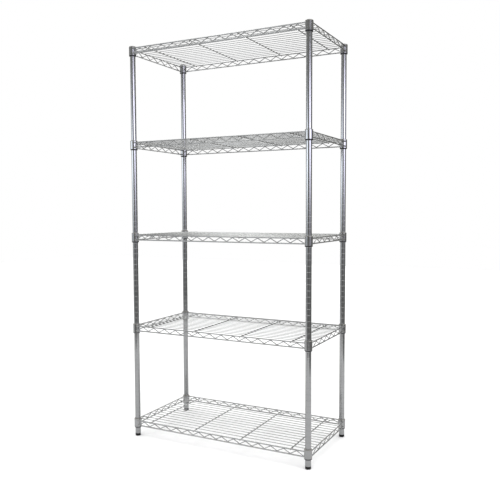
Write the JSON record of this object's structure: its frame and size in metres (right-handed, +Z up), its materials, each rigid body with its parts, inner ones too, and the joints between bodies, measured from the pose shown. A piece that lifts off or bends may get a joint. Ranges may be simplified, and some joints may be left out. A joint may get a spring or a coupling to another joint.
{
  "type": "wire shelving rack",
  "caption": "Free-standing wire shelving rack: open welded wire shelves wedged on split sleeves along grooved tube posts, with screw-in levelling feet.",
  "frame": {"origin": "on the floor, under the centre of the rack", "axes": "+X along the length of the shelves, to the right seen from the front; +Y from the front to the back; +Z up along the posts"},
  "size_m": [0.9144, 0.4572, 1.8395],
  "materials": {
    "post_chrome": "polished",
    "wire_chrome": "polished",
    "collar_chrome": "polished",
    "cap_plastic": "satin",
    "sleeve_plastic": "matte",
    "insert_plastic": "matte",
    "stud_steel": "zinc plated",
    "foot_plastic": "matte"
  },
  "bodies": {
    "root": {"post_front_left": "post_chrome", "post_front_right": "post_chrome", "post_back_left": "post_chrome", "post_back_right": "post_chrome", "cap_front_left": "cap_plastic", "cap_front_right": "cap_plastic", "cap_back_left": "cap_plastic", "cap_back_right": "cap_plastic", "insert_front_left": "insert_plastic", "insert_front_right": "insert_plastic", "insert_back_left": "insert_plastic", "insert_back_right": "insert_plastic", "sleeve_front_left_1": "sleeve_plastic", "sleeve_front_left_2": "sleeve_plastic", "sleeve_front_left_3": "sleeve_plastic", "sleeve_front_left_4": "sleeve_plastic", "sleeve_front_left_5": "sleeve_plastic", "sleeve_front_right_1": "sleeve_plastic", "sleeve_front_right_2": "sleeve_plastic", "sleeve_front_right_3": "sleeve_plastic", "sleeve_front_right_4": "sleeve_plastic", "sleeve_front_right_5": "sleeve_plastic", "sleeve_back_left_1": "sleeve_plastic", "sleeve_back_left_2": "sleeve_plastic", "sleeve_back_left_3": "sleeve_plastic", "sleeve_back_left_4": "sleeve_plastic", "sleeve_back_left_5": "sleeve_plastic", "sleeve_back_right_1": "sleeve_plastic", "sleeve_back_right_2": "sleeve_plastic", "sleeve_back_right_3": "sleeve_plastic", "sleeve_back_right_4": "sleeve_plastic", "sleeve_back_right_5": "sleeve_plastic"},
    "shelf_1": {"deck_1": "wire_chrome", "long_trusses_1": "wire_chrome", "side_trusses_1": "wire_chrome", "collars_1": "collar_chrome"},
    "shelf_2": {"deck_2": "wire_chrome", "long_trusses_2": "wire_chrome", "side_trusses_2": "wire_chrome", "collars_2": "collar_chrome"},
    "shelf_3": {"deck_3": "wire_chrome", "long_trusses_3": "wire_chrome", "side_trusses_3": "wire_chrome", "collars_3": "collar_chrome"},
    "shelf_4": {"deck_4": "wire_chrome", "long_trusses_4": "wire_chrome", "side_trusses_4": "wire_chrome", "collars_4": "collar_chrome"},
    "shelf_5": {"deck_5": "wire_chrome", "long_trusses_5": "wire_chrome", "side_trusses_5": "wire_chrome", "collars_5": "collar_chrome"},
    "foot_front_left": {"foot_front_left": "foot_plastic"},
    "foot_front_right": {"foot_front_right": "foot_plastic"},
    "foot_back_left": {"foot_back_left": "foot_plastic"},
    "foot_back_right": {"foot_back_right": "foot_plastic"},
    "stud_front_left": {"stud_front_left": "stud_steel"},
    "stud_front_right": {"stud_front_right": "stud_steel"},
    "stud_back_left": {"stud_back_left": "stud_steel"},
    "stud_back_right": {"stud_back_right": "stud_steel"}
  },
  "joints": [
    {"name": "shelf_1_lift", "type": "slide", "parent": "root", "child": "shelf_1", "axis": [0, 0, 1], "range_m": [0, 0.411]},
    {"name": "shelf_2_lift", "type": "slide", "parent": "root", "child": "shelf_2", "axis": [0, 0, 1], "range_m": [0, 0.385]},
    {"name": "shelf_3_lift", "type": "slide", "parent": "root", "child": "shelf_3", "axis": [0, 0, 1], "range_m": [0, 0.385]},
    {"name": "shelf_4_lift", "type": "slide", "parent": "root", "child": "shelf_4", "axis": [0, 0, 1], "range_m": [0, 0.385]},
    {"name": "shelf_5_lift", "type": "slide", "parent": "root", "child": "shelf_5", "axis": [0, 0, 1], "range_m": [0, 0.06]},
    {"name": "foot_front_left_drop", "type": "slide", "parent": "root", "child": "foot_front_left", "axis": [0, 0, -1], "range_m": [0, 0.015]},
    {"name": "foot_front_right_drop", "type": "slide", "parent": "root", "child": "foot_front_right", "axis": [0, 0, -1], "range_m": [0, 0.015]},
    {"name": "foot_back_left_drop", "type": "slide", "parent": "root", "child": "foot_back_left", "axis": [0, 0, -1], "range_m": [0, 0.015]},
    {"name": "foot_back_right_drop", "type": "slide", "parent": "root", "child": "foot_back_right", "axis": [0, 0, -1], "range_m": [0, 0.015]},
    {"name": "stud_front_left_turn", "type": "hinge", "parent": "foot_front_left", "child": "stud_front_left", "pos_m": [-0.4402, -0.2116, 0.005], "axis": [0, 0, -1], "range_deg": [0, 4320]},
    {"name": "stud_front_right_turn", "type": "hinge", "parent": "foot_front_right", "child": "stud_front_right", "pos_m": [0.4402, -0.2116, 0.005], "axis": [0, 0, -1], "range_deg": [0, 4320]},
    {"name": "stud_back_left_turn", "type": "hinge", "parent": "foot_back_left", "child": "stud_back_left", "pos_m": [-0.4402, 0.2116, 0.005], "axis": [0, 0, -1], "range_deg": [0, 4320]},
    {"name": "stud_back_right_turn", "type": "hinge", "parent": "foot_back_right", "child": "stud_back_right", "pos_m": [0.4402, 0.2116, 0.005], "axis": [0, 0, -1], "range_deg": [0, 4320]}
  ],
  "couplings": [
    {"joint": "foot_front_left_drop", "follows": "stud_front_left_turn", "m_per_rad": 0.00019894},
    {"joint": "foot_front_right_drop", "follows": "stud_front_right_turn", "m_per_rad": 0.00019894},
    {"joint": "foot_back_left_drop", "follows": "stud_back_left_turn", "m_per_rad": 0.00019894},
    {"joint": "foot_back_right_drop", "follows": "stud_back_right_turn", "m_per_rad": 0.00019894}
  ]
}
